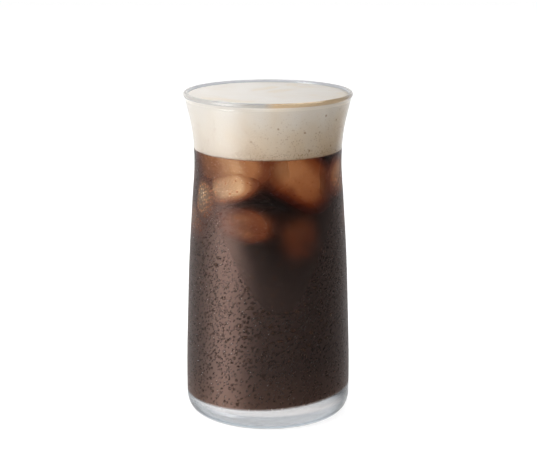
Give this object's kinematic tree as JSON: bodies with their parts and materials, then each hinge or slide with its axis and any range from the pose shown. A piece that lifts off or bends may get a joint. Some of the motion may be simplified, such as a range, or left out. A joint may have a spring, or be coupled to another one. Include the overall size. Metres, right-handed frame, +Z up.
{
  "type": "iced americano",
  "caption": "Tall flared glass tumbler filled with dark iced coffee under a thick pale crema head, its wall thin and its foot thick and clear.",
  "frame": {"origin": "middle of the foot of the glass, at the height of the surface it stands on", "axes": "+Z up along the glass; +X to the viewer's right, where the clear foot is thickest; -Y towards the viewer"},
  "size_m": [0.078, 0.078, 0.1514],
  "materials": {
    "glass": "clear, smooth, beaded with condensation where the coffee stands behind it",
    "coffee": "dark clear brown liquid with ice in its upper half",
    "crema": "fine pale beige foam, lightly marbled"
  },
  "bodies": {
    "root": {"glass": "glass", "coffee": "coffee", "crema": "crema"}
  },
  "joints": []
}
